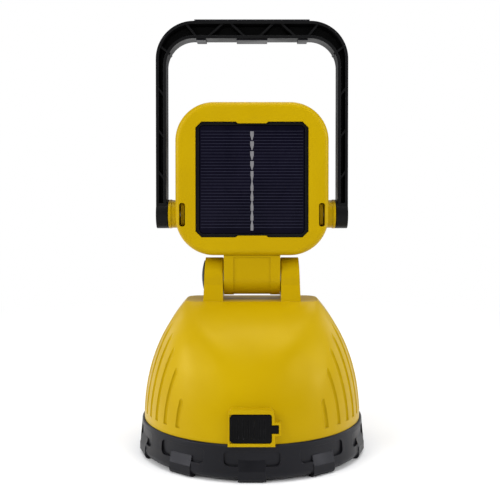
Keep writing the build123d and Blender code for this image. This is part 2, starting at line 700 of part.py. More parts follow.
with BuildPart() as spot_heat_sink:
    with BuildSketch(Plane.XY.offset(BOWL_TOP + BOARD_THICK)):
        Circle(SINK_RADIUS)
    extrude(amount=SINK_PLATE)
    with BuildSketch(Plane.XY.offset(BOWL_TOP + BOARD_THICK + SINK_PLATE)):
        with GridLocations(SINK_FIN_PITCH, 0, SINK_FINS, 1):
            Rectangle(SINK_FIN_THICK, SINK_FIN_LENGTH)
    extrude(amount=CRADLE_LOW - BOWL_TOP - BOARD_THICK - SINK_PLATE)
spot_heat_sink.part.label = "spot_heat_sink"
export_step(spot_heat_sink.part, "parts/spot_heat_sink.step")

with BuildPart() as base_screws:
    with PolarLocations(BASE_SCREW_CIRCLE, BASE_SCREW_COUNT, start_angle=BASE_SCREW_START):
        with Locations((0, 0, BEZEL_LOW + 0.4)):
            Cylinder(SCREW_HEAD, HEAD_HEIGHT, align=(Align.CENTER, Align.CENTER, Align.MIN))
            Cylinder(SCREW_SHAFT, BASE_SCREW_LENGTH, align=(Align.CENTER, Align.CENTER, Align.MIN))
            for turn in (0, 90):
                Box(
                    CROSS_LENGTH, CROSS_WIDTH, CROSS_DEPTH, rotation=(0, 0, turn),
                    align=(Align.CENTER, Align.CENTER, Align.MIN), mode=Mode.SUBTRACT,
                )
base_screws.part.label = "base_screws"
export_step(base_screws.part, "parts/base_screws.step")

# ---- Base: charging port ----------------------------------------------------------------------

with BuildPart() as port_cover:
    with BuildSketch(plane_at_y(-PORT_FACE + COVER_THICK)):
        with Locations((COVER_X, COVER_Z)):
            RectangleRounded(
                COVER_RIGHT - COVER_LEFT - 2 * COVER_GAP, COVER_HIGH - COVER_LOW - 2 * COVER_GAP,
                COVER_CORNER - COVER_GAP,
            )
        with Locations(((COVER_RIGHT + TAB_RIGHT) / 2 - TAB_ROOT, (TAB_LOW + TAB_HIGH) / 2)):
            Rectangle(
                TAB_RIGHT - COVER_RIGHT + 2 * TAB_ROOT - 2 * COVER_GAP, TAB_HIGH - TAB_LOW - 2 * COVER_GAP
            )
    extrude(amount=COVER_THICK)
    fillet(port_cover.faces().sort_by(Axis.Y)[0].edges(), COVER_EDGE)
    with BuildSketch(Plane.XY.offset(COVER_LOW + COVER_CORNER)):
        with Locations((COVER_LEFT, -PORT_FACE)):
            Circle(HINGE_BEAD)
    extrude(amount=COVER_HIGH - COVER_LOW - 2 * COVER_CORNER)
    with BuildSketch(plane_at_y(-PORT_FACE + COVER_RIB_DEPTH)):
        with Locations((COVER_X, COVER_Z)):
            with GridLocations(COVER_RIB_PITCH, 0, COVER_RIBS, 1):
                SlotOverall(COVER_RIB_LENGTH, COVER_RIB_WIDTH, rotation=90)
    extrude(amount=COVER_RIB_DEPTH, mode=Mode.SUBTRACT)
port_cover.part.label = "port_cover"
export_step(port_cover.part, "parts/port_cover.step")

with BuildPart() as charge_board:
    with BuildSketch(Plane.XY.offset(BOARD_LOW)):
        with Locations((0, BOARD_Y)):
            Rectangle(BOARD_WIDTH, BOARD_LENGTH)
    extrude(amount=BOARD_THICK)
charge_board.part.label = "charge_board"
export_step(charge_board.part, "parts/charge_board.step")

with BuildPart() as usb_a_socket:
    with BuildSketch(plane_at_y(USB_A_BACK)):
        with Locations((USB_A_X, USB_A_Z)):
            Rectangle(USB_A_WIDTH, USB_A_HEIGHT)
    extrude(amount=USB_A_LENGTH)
    with BuildSketch(plane_at_y(USB_A_BACK - 2.0)):
        with Locations((USB_A_X, USB_A_Z)):
            Rectangle(USB_A_WIDTH - 2 * USB_A_WALL, USB_A_HEIGHT - 2 * USB_A_WALL)
    extrude(amount=USB_A_LENGTH - 2.0, mode=Mode.SUBTRACT)
    with BuildSketch(plane_at_y(USB_A_BACK - 2.0)):
        with Locations((USB_A_X, USB_A_Z + 1.3)):
            Rectangle(USB_A_TONGUE_WIDTH, USB_A_TONGUE_THICK)
    extrude(amount=USB_A_LENGTH - 5.0)
usb_a_socket.part.label = "usb_a_socket"
export_step(usb_a_socket.part, "parts/usb_a_socket.step")

with BuildPart() as usb_c_socket:
    with BuildSketch(plane_at_y(USB_C_BACK)):
        with Locations((USB_C_X, USB_C_Z)):
            RectangleRounded(USB_C_WIDTH, USB_C_HEIGHT, USB_C_CORNER)
    extrude(amount=USB_C_LENGTH)
    with BuildSketch(plane_at_y(USB_C_BACK - 1.2)):
        with Locations((USB_C_X, USB_C_Z)):
            RectangleRounded(
                USB_C_WIDTH - 2 * USB_C_WALL, USB_C_HEIGHT - 2 * USB_C_WALL, USB_C_CORNER - USB_C_WALL
            )
    extrude(amount=USB_C_LENGTH, mode=Mode.SUBTRACT)
    with BuildSketch(plane_at_y(USB_C_BACK - 1.2)):
        with Locations((USB_C_X, USB_C_Z)):
            Rectangle(USB_C_TONGUE_WIDTH, USB_C_TONGUE_THICK)
    extrude(amount=USB_C_LENGTH - 2.1)
usb_c_socket.part.label = "usb_c_socket"
export_step(usb_c_socket.part, "parts/usb_c_socket.step")

# ---- Base: batteries --------------------------------------------------------------------------

with BuildPart() as battery_cradle:
    with BuildSketch(Plane.XY.offset(CRADLE_LOW)):
        Rectangle(CRADLE_LENGTH, CRADLE_WIDTH)
    extrude(amount=CRADLE_FLOOR)
    with BuildSketch(Plane.XY.offset(CRADLE_LOW)):
        with GridLocations(CRADLE_LENGTH - CRADLE_END, 0, 2, 1):
            Rectangle(CRADLE_END, CRADLE_WIDTH)
    extrude(amount=CRADLE_END_HEIGHT)
    with BuildSketch(plane_at_x(CRADLE_END - CRADLE_LENGTH / 2)):
        with Locations((-CELL_Y, CELL_Z), (CELL_Y, CELL_Z)):
            Circle(CELL_RADIUS + CELL_FIT)
    extrude(amount=CRADLE_LENGTH - 2 * CRADLE_END, mode=Mode.SUBTRACT)
    with BuildSketch(Plane.XY.offset(CRADLE_LOW)):
        with Locations((-POST_X, 0), (POST_X, 0)):
            Rectangle(CRADLE_EAR_LENGTH, CRADLE_EAR_WIDTH)
    extrude(amount=CRADLE_EAR_TOP - CRADLE_LOW)
    with BuildSketch(Plane.XY.offset(CRADLE_LOW)):
        with Locations((-POST_X, 0), (POST_X, 0)):
            Circle(SCREW_CLEAR)
    extrude(amount=CRADLE_EAR_TOP - CRADLE_LOW, mode=Mode.SUBTRACT)
battery_cradle.part.label = "battery_cradle"
export_step(battery_cradle.part, "parts/battery_cradle.step")


def battery_cell(y):
    """One cylindrical cell that lies along X, with its raised end towards +X."""
    with BuildPart() as cell:
        with BuildSketch(plane_at_x(-CELL_HALF_LENGTH)):
            with Locations((y, CELL_Z)):
                Circle(CELL_RADIUS)
        extrude(amount=2 * CELL_HALF_LENGTH - CELL_TIP_RISE)
        fillet(cell.edges(), CELL_EDGE)
        with BuildSketch(plane_at_x(CELL_HALF_LENGTH - CELL_TIP_RISE)):
            with Locations((y, CELL_Z)):
                Circle(CELL_TIP_RADIUS)
        extrude(amount=CELL_TIP_RISE)
    return cell


battery_cell_rear = battery_cell(-CELL_Y)
battery_cell_rear.part.label = "battery_cell_rear"
export_step(battery_cell_rear.part, "parts/battery_cell_rear.step")

battery_cell_front = battery_cell(CELL_Y)
battery_cell_front.part.label = "battery_cell_front"
export_step(battery_cell_front.part, "parts/battery_cell_front.step")

with BuildPart() as battery_contacts:
    for start in (-CELL_HALF_LENGTH - CONTACT_THICK, CELL_HALF_LENGTH):
        with BuildSketch(plane_at_x(start)):
            with Locations((0, CELL_Z)):
                RectangleRounded(CONTACT_WIDTH, CONTACT_HEIGHT, 1.5)
        extrude(amount=CONTACT_THICK)
battery_contacts.part.label = "battery_contacts"
export_step(battery_contacts.part, "parts/battery_contacts.step")

with BuildPart() as cradle_screws:
    with Locations((-POST_X, 0, CRADLE_LOW - HEAD_HEIGHT), (POST_X, 0, CRADLE_LOW - HEAD_HEIGHT)):
        Cylinder(SCREW_HEAD, HEAD_HEIGHT, align=(Align.CENTER, Align.CENTER, Align.MIN))
        Cylinder(SCREW_SHAFT, CRADLE_SCREW_LENGTH, align=(Align.CENTER, Align.CENTER, Align.MIN))
cradle_screws.part.label = "cradle_screws"
export_step(cradle_screws.part, "parts/cradle_screws.step")

# ---- Tilt hinge -------------------------------------------------------------------------------

with BuildPart() as hinge_pin:
    with BuildSketch(plane_at_x(-BUTTON_POCKET_FLOOR)):
        with Locations((0, TILT_Z)):
            Circle(PIN_RADIUS)
            Circle(PIN_BORE, mode=Mode.SUBTRACT)
    extrude(amount=BUTTON_POCKET_FLOOR + EAR_CAP_INNER)
hinge_pin.part.label = "hinge_pin"
export_step(hinge_pin.part, "parts/hinge_pin.step")

with BuildPart() as friction_washers:
    for start in (-EAR_INNER, EAR_INNER - HINGE_WASHER_THICK):
        with BuildSketch(plane_at_x(start)):
            with Locations((0, TILT_Z)):
                Circle(HINGE_WASHER_RADIUS)
                Circle(PIN_RADIUS + WASHER_CLEAR, mode=Mode.SUBTRACT)
        extrude(amount=HINGE_WASHER_THICK)
friction_washers.part.label = "friction_washers"
export_step(friction_washers.part, "parts/friction_washers.step")

with BuildPart() as ear_cap:
    with BuildSketch(plane_at_x(EAR_CAP_INNER)):
        with Locations((0, TILT_Z)):
            Circle(EAR_CAP_RADIUS - 0.1)
    extrude(amount=EAR_CAP_THICK)
    fillet(ear_cap.faces().sort_by(Axis.X)[-1].edges(), 0.5)
ear_cap.part.label = "ear_cap"
export_step(ear_cap.part, "parts/ear_cap.step")

with BuildPart() as release_button:
    # Spherical crown on a short drum, with a stem that runs inside the hollow hinge pin.
    crown_rise = BUTTON_CROWN - BUTTON_EDGE
    crown_radius = (BUTTON_RADIUS**2 + crown_rise**2) / (2 * crown_rise)
    crown_middle = sqrt(crown_radius**2 - (BUTTON_RADIUS / 2) ** 2) - crown_radius + BUTTON_CROWN
    with BuildSketch(Plane.XZ):
        with BuildLine():
            Polyline(
                (-BUTTON_CROWN, TILT_Z), (-STEM_END, TILT_Z), (-STEM_END, TILT_Z + STEM_RADIUS),
                (-BUTTON_BACK, TILT_Z + STEM_RADIUS),
                (-BUTTON_BACK, TILT_Z + BUTTON_RADIUS), (-BUTTON_EDGE, TILT_Z + BUTTON_RADIUS),
            )
            ThreePointArc(
                (-BUTTON_EDGE, TILT_Z + BUTTON_RADIUS), (-crown_middle, TILT_Z + BUTTON_RADIUS / 2),
                (-BUTTON_CROWN, TILT_Z),
            )
        make_face()
    revolve(axis=Axis((0, 0, TILT_Z), (1, 0, 0)))
release_button.part.label = "release_button"
export_step(release_button.part, "parts/release_button.step")

with BuildPart() as release_spring:
    spring_length = BUTTON_BACK - BUTTON_POCKET_FLOOR - 2 * (SPRING_WIRE + SPRING_GAP)
    spring_start = -BUTTON_BACK + SPRING_WIRE + SPRING_GAP
    with BuildLine() as coil:
        Helix(
            pitch=spring_length / SPRING_TURNS, height=spring_length, radius=SPRING_RADIUS,
            center=(spring_start, 0, TILT_Z), direction=(1, 0, 0),
        )
    with BuildSketch(Plane(origin=coil.line @ 0, z_dir=coil.line % 0)):
        Circle(SPRING_WIRE)
    sweep(path=coil.line, is_frenet=True)
release_spring.part.label = "release_spring"
export_step(release_spring.part, "parts/release_spring.step")

with BuildPart() as neck_bracket:
    # Barrel round the hinge pin with a block above it; the middle panel lies a little deeper.
    for low, high, radius in (
        (-NECK_HALF, -NECK_PANEL_HALF, NECK_RADIUS),
        (-NECK_PANEL_HALF, NECK_PANEL_HALF, NECK_RADIUS - NECK_PANEL_DEPTH),
        (NECK_PANEL_HALF, NECK_HALF, NECK_RADIUS),
    ):
        with BuildSketch(plane_at_x(low)):
            with Locations((0, TILT_Z)):
                Circle(radius)
            with Locations((0, (TILT_Z + HEAD_BOTTOM) / 2)):
                Rectangle(2 * radius, HEAD_BOTTOM - TILT_Z)
        extrude(amount=high - low)
    with BuildSketch(Plane.XY.offset(HEAD_BOTTOM)):
        Rectangle(2 * NECK_HALF, 2 * NECK_RADIUS)
    extrude(amount=-NECK_PLATE)
    with BuildSketch(plane_at_x(-NECK_HALF)):
        with Locations((0, TILT_Z)):
            Circle(PIN_RADIUS + PIN_FIT)
    extrude(amount=2 * NECK_HALF, mode=Mode.SUBTRACT)
    with BuildSketch(Plane.XY.offset(HEAD_BOTTOM)):
        with GridLocations(NECK_SCREW_SPAN, NECK_SCREW_DEPTH, 2, 2):
            Circle(SCREW_BORE)
    extrude(amount=-NECK_BORE_LENGTH, mode=Mode.SUBTRACT)
neck_bracket.part.label = "neck_bracket"
export_step(neck_bracket.part, "parts/neck_bracket.step")

with BuildPart() as neck_screws:
    with Locations((0, 0, HEAD_BOTTOM + HEAD_WALL)):
        with GridLocations(NECK_SCREW_SPAN, NECK_SCREW_DEPTH, 2, 2):
            Cylinder(SCREW_HEAD, HEAD_HEIGHT, align=(Align.CENTER, Align.CENTER, Align.MIN))
            Cylinder(SCREW_SHAFT, NECK_SCREW_LENGTH, align=(Align.CENTER, Align.CENTER, Align.MAX))
neck_screws.part.label = "neck_screws"
export_step(neck_screws.part, "parts/neck_screws.step")

# ---- Head: casing -----------------------------------------------------------------------------

HEAD_SCREWS = [
    (side * HEAD_SCREW_X, HEAD_Z + rise * HEAD_SCREW_RISE) for side in (-1, 1) for rise in (-1, 1)
]

with BuildPart() as head_rear_shell:
    with BuildSketch(plane_at_y(HEAD_SPLIT)):
        with Locations((0, HEAD_Z)):
            RectangleRounded(HEAD_SIZE, HEAD_SIZE, HEAD_CORNER)
    extrude(amount=HEAD_SPLIT - HEAD_REAR)
    fillet(head_rear_shell.faces().sort_by(Axis.Y)[0].edges(), HEAD_EDGE)

    # Pivot bosses with a rim at their outer ends.
    for side in (-1, 1):
        with BuildSketch(plane_at_x(side * (HEAD_SIZE / 2 - 2.0))):
            with Locations((0, PIVOT_Z)):
                Circle(BOSS_RADIUS)
        extrude(amount=side * (BOSS_OUTER - HEAD_SIZE / 2 + 2.0))
        with BuildSketch(plane_at_x(side * BOSS_RIM_START)):
            with Locations((0, PIVOT_Z)):
                Circle(BOSS_RIM_RADIUS)
        extrude(amount=side * (BOSS_OUTER - BOSS_RIM_START))

    with BuildSketch(plane_at_y(HEAD_SPLIT)):
        with Locations((0, HEAD_Z)):
            RectangleRounded(
                HEAD_SIZE - 2 * HEAD_WALL, HEAD_SIZE - 2 * HEAD_WALL, HEAD_CORNER - HEAD_WALL
            )
    extrude(amount=HEAD_SPLIT - HEAD_REAR - HEAD_WALL, mode=Mode.SUBTRACT)

    # Window for the solar panel, with cut corners and a small tab at the top and at the bottom.
    with BuildSketch(plane_at_y(HEAD_REAR + HEAD_WALL)) as window:
        with Locations((0, WINDOW_Z)):
            Rectangle(WINDOW_WIDTH, WINDOW_HEIGHT)
        chamfer(window.vertices(), WINDOW_CHAMFER)
        for rise in (-1, 1):
            edge = WINDOW_Z + rise * WINDOW_HEIGHT / 2
            inner_edge = edge - rise * WINDOW_TAB_HEIGHT
            with BuildLine():
                Polyline(
                    (-WINDOW_TAB_WIDTH / 2 - 1.4, edge), (WINDOW_TAB_WIDTH / 2 + 1.4, edge),
                    (WINDOW_TAB_WIDTH / 2, inner_edge), (-WINDOW_TAB_WIDTH / 2, inner_edge), close=True,
                )
            make_face(mode=Mode.SUBTRACT)
    extrude(amount=HEAD_WALL, mode=Mode.SUBTRACT)

    # Screw bosses, and two posts for the control board.
    with BuildSketch(plane_at_y(HEAD_SPLIT)):
        with Locations(*HEAD_SCREWS):
            Circle(HEAD_BOSS)
    extrude(amount=HEAD_SPLIT - HEAD_REAR - HEAD_WALL)
    with BuildSketch(plane_at_y(HEAD_SPLIT)):
        with Locations(*HEAD_SCREWS):
            Circle(SCREW_BORE)
    extrude(amount=HEAD_BORE_LENGTH, mode=Mode.SUBTRACT)
    with BuildSketch(plane_at_y(CONTROL_BOARD_FACE - BOARD_THICK)):
        with Locations((0, SWITCH_Z - CONTROL_POST_DROP)):
            with GridLocations(CONTROL_POST_SPAN, 0, 2, 1):
                Circle(CONTROL_POST_RADIUS)
    extrude(amount=CONTROL_BOARD_FACE - BOARD_THICK - HEAD_REAR - HEAD_WALL)

    # Channels that hold the retaining clips of the handle's pivots.
    for side in (-1, 1):
        with BuildSketch(plane_at_y(SLOT_END)):
            with Locations((side * SLOT_X, PIVOT_Z)):
                Rectangle(SLOT_WIDTH + 2 * SLOT_WALL, SLOT_HEIGHT + 2 * SLOT_WALL)
        extrude(amount=SLOT_END - HEAD_REAR - HEAD_WALL)
        with BuildSketch(plane_at_y(SLOT_END)):
            with Locations((side * SLOT_X, PIVOT_Z)):
                RectangleRounded(SLOT_WIDTH, SLOT_HEIGHT, SLOT_CORNER)
        extrude(amount=SLOT_END - HEAD_REAR, mode=Mode.SUBTRACT)
        with BuildSketch(plane_at_x(side * STUB_BORE_START)):
            with Locations((0, PIVOT_Z)):
                Circle(STUB_RADIUS + STUB_FIT)
        extrude(amount=side * (BOSS_OUTER - STUB_BORE_START), mode=Mode.SUBTRACT)

    # Holes of the neck screws in the bottom wall.
    with BuildSketch(Plane.XY.offset(HEAD_BOTTOM - 1.0)):
        with GridLocations(NECK_SCREW_SPAN, NECK_SCREW_DEPTH, 2, 2):
            Circle(SCREW_CLEAR)
    extrude(amount=HEAD_WALL + 1.5, mode=Mode.SUBTRACT)
head_rear_shell.part.label = "head_rear_shell"
export_step(head_rear_shell.part, "parts/head_rear_shell.step")

with BuildPart() as head_front_bezel:
    with BuildSketch(plane_at_y(HEAD_FRONT)):
        with Locations((0, HEAD_Z)):
            RectangleRounded(HEAD_SIZE, HEAD_SIZE, HEAD_CORNER)
    extrude(amount=HEAD_FRONT - HEAD_SPLIT)
    fillet(head_front_bezel.faces().sort_by(Axis.Y)[-1].edges(), HEAD_EDGE)
    with BuildSketch(plane_at_y(HEAD_FRONT - HEAD_WALL)):
        with Locations((0, HEAD_Z)):
            RectangleRounded(
                HEAD_SIZE - 2 * BEZEL_WALL, HEAD_SIZE - 2 * BEZEL_WALL, HEAD_CORNER - BEZEL_WALL
            )
    extrude(amount=HEAD_FRONT - HEAD_WALL - HEAD_SPLIT, mode=Mode.SUBTRACT)
    with BuildSketch(plane_at_y(HEAD_FRONT - HEAD_WALL)):
        with Locations(*HEAD_SCREWS):
            Circle(HEAD_BOSS)
    extrude(amount=HEAD_FRONT - HEAD_WALL - HEAD_SPLIT)
    with BuildSketch(plane_at_y(HEAD_FRONT)):
        with Locations((0, LIGHT_Z)):
            RectangleRounded(LIGHT_WIDTH, LIGHT_HEIGHT, LIGHT_CORNER)
        with Locations((0, SWITCH_Z)):
            Circle(SWITCH_RADIUS + BUTTON_CLEAR)
        with Locations((INDICATOR_X, SWITCH_Z)):
            Circle(INDICATOR_RADIUS + 0.1)
        with Locations(*HEAD_SCREWS):
            Circle(SCREW_CLEAR)
    extrude(amount=HEAD_FRONT - HEAD_SPLIT, mode=Mode.SUBTRACT)
    with BuildSketch(plane_at_y(HEAD_FRONT)):
        with Locations(*HEAD_SCREWS):
            Circle(SCREW_HEAD + 0.2)
    extrude(amount=HEAD_HEIGHT + SCREW_SINK, mode=Mode.SUBTRACT)
head_front_bezel.part.label = "head_front_bezel"
export_step(head_front_bezel.part, "parts/head_front_bezel.step")

with BuildPart() as head_screws:
    with BuildSketch(plane_at_y(HEAD_FRONT - SCREW_SINK)):
        with Locations(*HEAD_SCREWS):
            Circle(SCREW_HEAD)
    extrude(amount=HEAD_HEIGHT)
    with BuildSketch(plane_at_y(HEAD_FRONT - SCREW_SINK)):
        with Locations(*HEAD_SCREWS):
            Circle(SCREW_SHAFT)
    extrude(amount=HEAD_SCREW_LENGTH)
    with BuildSketch(plane_at_y(HEAD_FRONT - SCREW_SINK)):
        with Locations(*HEAD_SCREWS):
            Rectangle(CROSS_LENGTH, CROSS_WIDTH)
            Rectangle(CROSS_WIDTH, CROSS_LENGTH)
    extrude(amount=CROSS_DEPTH, mode=Mode.SUBTRACT)
head_screws.part.label = "head_screws"
export_step(head_screws.part, "parts/head_screws.step")

with BuildPart() as head_gasket:
    with BuildSketch(plane_at_y(HEAD_SPLIT)):
        with Locations((0, HEAD_Z)):
            for inset, mode in ((GASKET_INSET, Mode.ADD), (GASKET_INSET + GASKET_WIDTH, Mode.SUBTRACT)):
                RectangleRounded(HEAD_SIZE - 2 * inset, HEAD_SIZE - 2 * inset, HEAD_CORNER - inset, mode=mode)
    extrude(amount=HEAD_GASKET_THICK)
head_gasket.part.label = "head_gasket"
export_step(head_gasket.part, "parts/head_gasket.step")

# ---- Head: solar panel ------------------------------------------------------------------------

with BuildPart() as solar_tray:
    with BuildSketch(plane_at_y(TRAY_BACK)) as tray_outline:
        with Locations((0, WINDOW_Z)):
            Rectangle(WINDOW_WIDTH - 2 * TRAY_GAP, WINDOW_HEIGHT - 2 * TRAY_GAP)
        chamfer(tray_outline.vertices(), WINDOW_CHAMFER)
        for rise in (-1, 1):
            with Locations((0, WINDOW_Z + rise * (WINDOW_HEIGHT / 2 - TRAY_GAP))):
                Rectangle(WINDOW_TAB_WIDTH + 3.4, 2 * WINDOW_TAB_HEIGHT, mode=Mode.SUBTRACT)
    extrude(amount=TRAY_BACK - TRAY_FACE)
    with BuildSketch(plane_at_y(TRAY_BACK)):
        with Locations((0, WINDOW_Z)):
            Rectangle(WINDOW_WIDTH + 2 * TRAY_FLANGE, WINDOW_HEIGHT + 2 * TRAY_FLANGE)
    extrude(amount=TRAY_BACK - HEAD_REAR - HEAD_WALL)
    with BuildSketch(plane_at_y(PANEL_BACK)):
        with Locations((0, WINDOW_Z)):
            RectangleRounded(PANEL_WIDTH + 2 * TRAY_GAP, PANEL_HEIGHT + 2 * TRAY_GAP, 3.3)
    extrude(amount=4.0, mode=Mode.SUBTRACT)
solar_tray.part.label = "solar_tray"
export_step(solar_tray.part, "parts/solar_tray.step")

with BuildPart() as solar_panel:
    with BuildSketch(plane_at_y(PANEL_BACK)):
        with Locations((0, WINDOW_Z)):
            RectangleRounded(PANEL_WIDTH, PANEL_HEIGHT, 3.0)
    extrude(amount=PANEL_BACK - PANEL_FACE)
    chamfer(solar_panel.faces().sort_by(Axis.Y)[0].edges(), 0.3)
solar_panel.part.label = "solar_panel"
export_step(solar_panel.part, "parts/solar_panel.step")

# ---- Head: floodlight -------------------------------------------------------------------------

with BuildPart() as flood_lens:
    flange_face = HEAD_FRONT - HEAD_WALL
    with BuildSketch(plane_at_y(HEAD_FRONT - LIGHT_LENS_SINK)):
        with Locations((0, LIGHT_Z)):
            RectangleRounded(LIGHT_WIDTH - 0.6, LIGHT_HEIGHT - 0.6, LIGHT_CORNER - 0.3)
    extrude(amount=HEAD_FRONT - LIGHT_LENS_SINK - LENS_BACK)
    with BuildSketch(plane_at_y(flange_face)):
        with Locations((0, LIGHT_Z)):
            RectangleRounded(
                LIGHT_WIDTH + 2 * LIGHT_FLANGE, LIGHT_HEIGHT + 2 * LIGHT_FLANGE, LIGHT_CORNER + LIGHT_FLANGE
            )
    extrude(amount=flange_face - LENS_BACK)
    chamfer(flood_lens.faces().sort_by(Axis.Y)[-1].edges(), 0.5)
flood_lens.part.label = "flood_lens"
export_step(flood_lens.part, "parts/flood_lens.step")

with BuildPart() as flood_reflector:
    # Flange behind the lens and a shallow tapered tray behind it.
    with BuildSketch(plane_at_y(LENS_BACK)):
        with Locations((0, LIGHT_Z)):
            RectangleRounded(
                LIGHT_WIDTH + 2 * LIGHT_FLANGE, LIGHT_HEIGHT + 2 * LIGHT_FLANGE, LIGHT_CORNER + LIGHT_FLANGE
            )
    extrude(amount=1.2)
    for y, inset in ((LENS_BACK, LIGHT_TRAY_INSET), (LIGHT_BOARD_FACE, LIGHT_TRAY_INSET + LIGHT_TRAY_TAPER)):
        with BuildSketch(plane_at_y(y)):
            with Locations((0, LIGHT_Z)):
                RectangleRounded(LIGHT_WIDTH - inset, LIGHT_HEIGHT - inset, 9.0)
    loft()
    for y, inset in (
        (LENS_BACK, LIGHT_TRAY_INSET + LIGHT_TRAY_WALL),
        (LIGHT_BOARD_FACE, LIGHT_TRAY_INSET + LIGHT_TRAY_WALL + LIGHT_TRAY_TAPER),
    ):
        with BuildSketch(plane_at_y(y)):
            with Locations((0, LIGHT_Z)):
                RectangleRounded(LIGHT_WIDTH - inset, LIGHT_HEIGHT - inset, 7.5)
    loft(mode=Mode.SUBTRACT)
flood_reflector.part.label = "flood_reflector"
export_step(flood_reflector.part, "parts/flood_reflector.step")

with BuildPart() as flood_led_board:
    with BuildSketch(plane_at_y(LIGHT_BOARD_FACE)):
        with Locations((0, LIGHT_Z)):
            RectangleRounded(LIGHT_WIDTH - 14.0, LIGHT_HEIGHT - 14.0, 3.0)
    extrude(amount=BOARD_THICK)
flood_led_board.part.label = "flood_led_board"
export_step(flood_led_board.part, "parts/flood_led_board.step")

with BuildPart() as flood_leds:
    with BuildSketch(plane_at_y(LIGHT_BOARD_FACE + LED_THICK)):
        with Locations((0, LIGHT_Z)):
            with GridLocations(LED_PITCH_X, LED_PITCH_Z, LED_COLUMNS, LED_ROWS):
                RectangleRounded(LED_WIDTH, LED_WIDTH, 0.4)
    extrude(amount=LED_THICK)
flood_leds.part.label = "flood_leds"
export_step(flood_leds.part, "parts/flood_leds.step")

with BuildPart() as control_board:
    with BuildSketch(plane_at_y(CONTROL_BOARD_FACE)):
        with Locations((0, SWITCH_Z + CONTROL_BOARD_RISE)):
            Rectangle(CONTROL_BOARD_WIDTH, CONTROL_BOARD_HEIGHT)
    extrude(amount=BOARD_THICK)
control_board.part.label = "control_board"
export_step(control_board.part, "parts/control_board.step")

with BuildPart() as tactile_switch:
    with BuildSketch(plane_at_y(SWITCH_BODY_FACE)):
        with Locations((0, SWITCH_Z)):
            Rectangle(SWITCH_BODY_WIDTH, SWITCH_BODY_WIDTH)
    extrude(amount=SWITCH_BODY_FACE - CONTROL_BOARD_FACE)
    with BuildSketch(plane_at_y(SWITCH_CAP_FACE)):
        with Locations((0, SWITCH_Z)):
            Circle(SWITCH_CAP_RADIUS)
    extrude(amount=SWITCH_CAP_FACE - SWITCH_BODY_FACE)
tactile_switch.part.label = "tactile_switch"
export_step(tactile_switch.part, "parts/tactile_switch.step")

with BuildPart() as power_button:
    with BuildSketch(plane_at_y(BUTTON_FACE)):
        with Locations((0, SWITCH_Z)):
            Circle(SWITCH_RADIUS)
    extrude(amount=BUTTON_FACE - BUTTON_REST)
    fillet(power_button.faces().sort_by(Axis.Y)[-1].edges(), 1.0)
    with BuildSketch(plane_at_y(BUTTON_FLANGE_FACE)):
        with Locations((0, SWITCH_Z)):
            Circle(SWITCH_RADIUS + BUTTON_FLANGE)
    extrude(amount=BUTTON_FLANGE_FACE - BUTTON_REST)
power_button.part.label = "power_button"
export_step(power_button.part, "parts/power_button.step")

with BuildPart() as indicator_light:
    with BuildSketch(plane_at_y(HEAD_FRONT)):
        with Locations((INDICATOR_X, SWITCH_Z)):
            Circle(INDICATOR_RADIUS)
    extrude(amount=HEAD_FRONT - INDICATOR_BACK)
    with BuildSketch(plane_at_y(HEAD_FRONT - HEAD_WALL)):
        with Locations((INDICATOR_X, SWITCH_Z)):
            Circle(INDICATOR_FLANGE_RADIUS)
    extrude(amount=INDICATOR_FLANGE_THICK)
indicator_light.part.label = "indicator_light"
export_step(indicator_light.part, "parts/indicator_light.step")

# ---- Handle -----------------------------------------------------------------------------------

with BuildPart() as pivot_pins:
    groove_start = SLOT_X - STUB_GROOVE_HALF
    groove_end = SLOT_X + STUB_GROOVE_HALF
    with BuildSketch(Plane.XZ):
        for side in (-1, 1):
            with BuildLine():
                Polyline(
                    (side * STUB_START, PIVOT_Z), (side * STUB_START, PIVOT_Z + STUB_RADIUS - STUB_CHAMFER),
                    (side * (STUB_START + STUB_CHAMFER), PIVOT_Z + STUB_RADIUS),
                    (side * groove_start, PIVOT_Z + STUB_RADIUS),
                    (side * groove_start, PIVOT_Z + STUB_GROOVE_RADIUS),
                    (side * groove_end, PIVOT_Z + STUB_GROOVE_RADIUS),
                    (side * groove_end, PIVOT_Z + STUB_RADIUS), (side * STUB_END, PIVOT_Z + STUB_RADIUS),
                    (side * STUB_END, PIVOT_Z), close=True,
                )
            make_face()
    revolve(axis=Axis((0, 0, PIVOT_Z), (1, 0, 0)))
pivot_pins.part.label = "pivot_pins"
export_step(pivot_pins.part, "parts/pivot_pins.step")

with BuildPart() as pivot_washers:
    for side in (-1, 1):
        with BuildSketch(plane_at_x(side * (BOSS_OUTER + PIVOT_WASHER_GAP))):
            with Locations((0, PIVOT_Z)):
                Circle(PIVOT_WASHER_RADIUS)
                Circle(STUB_RADIUS + WASHER_CLEAR, mode=Mode.SUBTRACT)
        extrude(amount=side * PIVOT_WASHER_THICK)
pivot_washers.part.label = "pivot_washers"
export_step(pivot_washers.part, "parts/pivot_washers.step")

with BuildPart() as retaining_clips:
    for side in (-1, 1):
        with BuildSketch(plane_at_x(side * SLOT_X - CLIP_HALF_THICK)):
            with Locations((CLIP_Y, PIVOT_Z)):
                RectangleRounded(CLIP_LENGTH, CLIP_HEIGHT, 1.6)
            with Locations((0, PIVOT_Z)):
                Circle(STUB_GROOVE_RADIUS + CLIP_CLEAR, mode=Mode.SUBTRACT)
            with Locations((CLIP_LENGTH / 4, PIVOT_Z)):
                Rectangle(CLIP_LENGTH / 2, 2 * (STUB_GROOVE_RADIUS + CLIP_CLEAR), mode=Mode.SUBTRACT)
        extrude(amount=2 * CLIP_HALF_THICK)
retaining_clips.part.label = "retaining_clips"
export_step(retaining_clips.part, "parts/retaining_clips.step")


